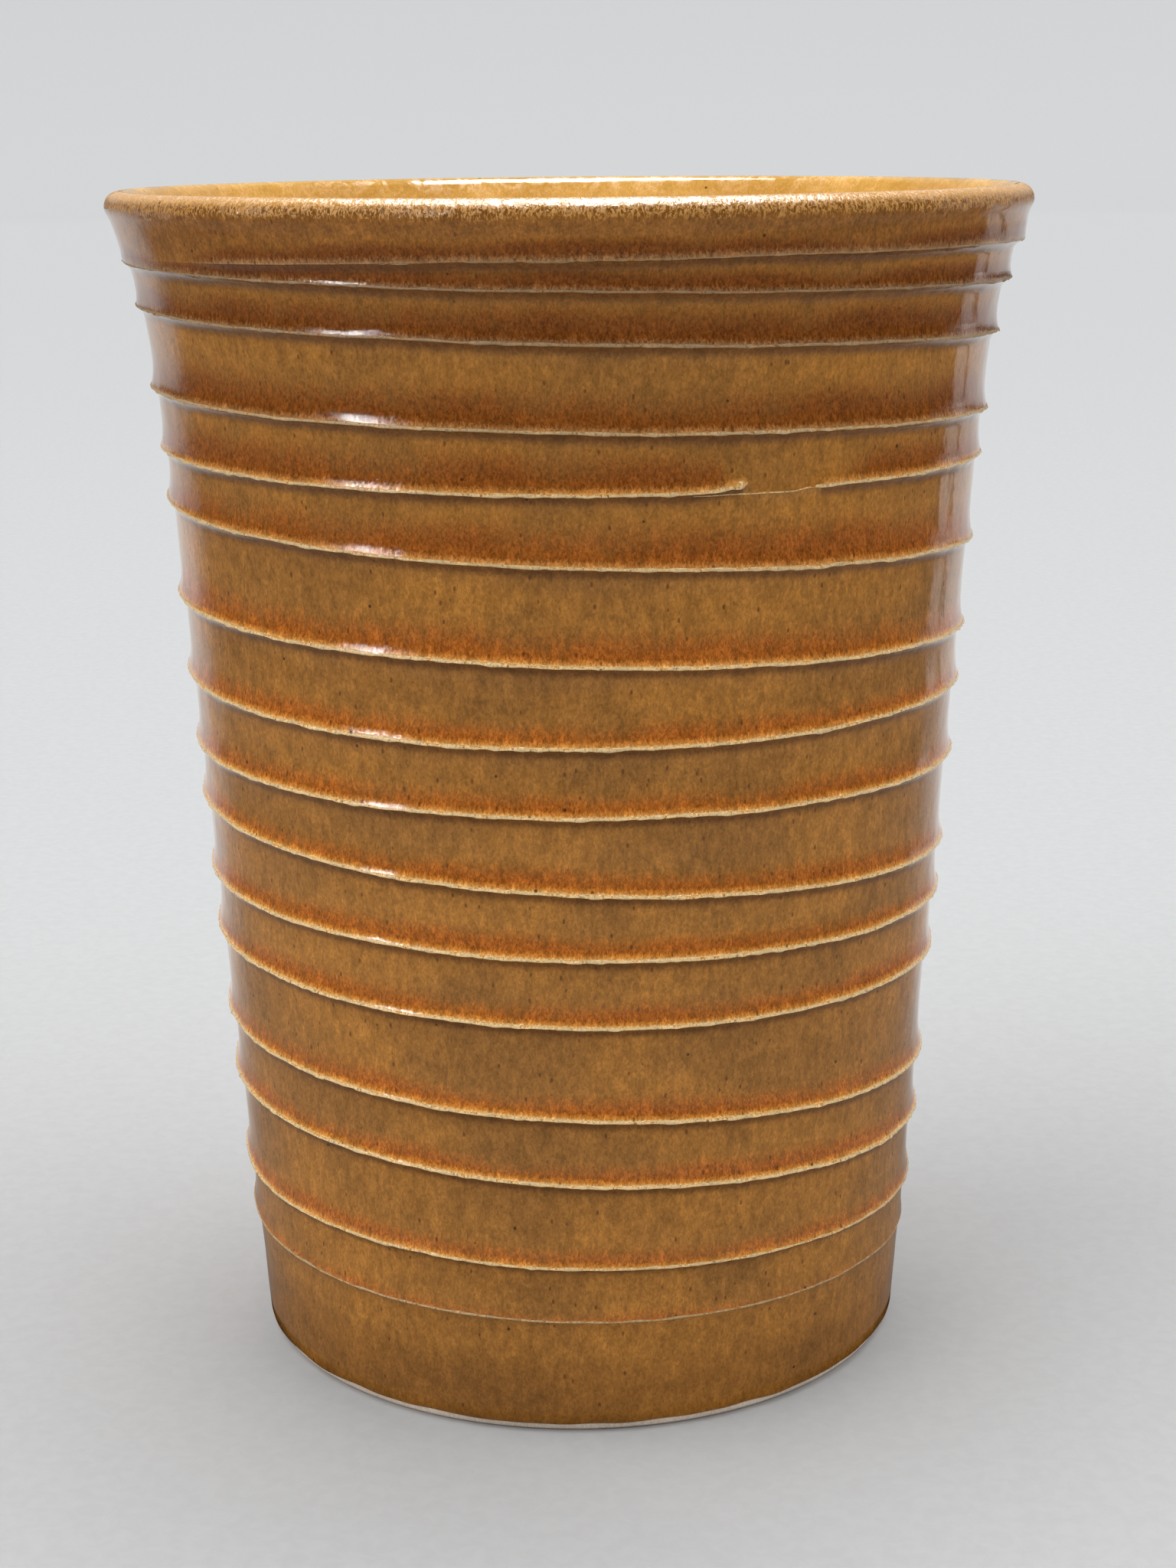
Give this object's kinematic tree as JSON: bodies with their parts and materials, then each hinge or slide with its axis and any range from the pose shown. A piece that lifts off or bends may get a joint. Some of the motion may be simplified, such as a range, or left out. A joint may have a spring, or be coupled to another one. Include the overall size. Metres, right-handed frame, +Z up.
{
  "type": "stoneware tea tumbler",
  "caption": "Hand-thrown stoneware tumbler for hot tea, gently tapered, with a flared lip, an amber glaze and one raised ridge winding down the outside.",
  "frame": {"origin": "middle of the foot, on the surface that the cup stands on", "axes": "+Z up along the axis of the cup, -Y towards the side with the break in the ridge, +X to its right"},
  "size_m": [0.0818, 0.0818, 0.106],
  "materials": {
    "bare_clay": "dry unglazed buff stoneware",
    "amber_glaze": "glossy amber-brown glaze that pools darker and breaks paler on edges",
    "honey_glaze": "glossy honey-coloured glaze",
    "ridge_glaze": "thin cream glaze where the ridge breaks through"
  },
  "bodies": {
    "root": {"clay_body": "bare_clay", "outer_glaze": "amber_glaze", "liner_glaze": "honey_glaze", "upper_ridge": "ridge_glaze", "lower_ridge": "ridge_glaze"}
  },
  "joints": []
}
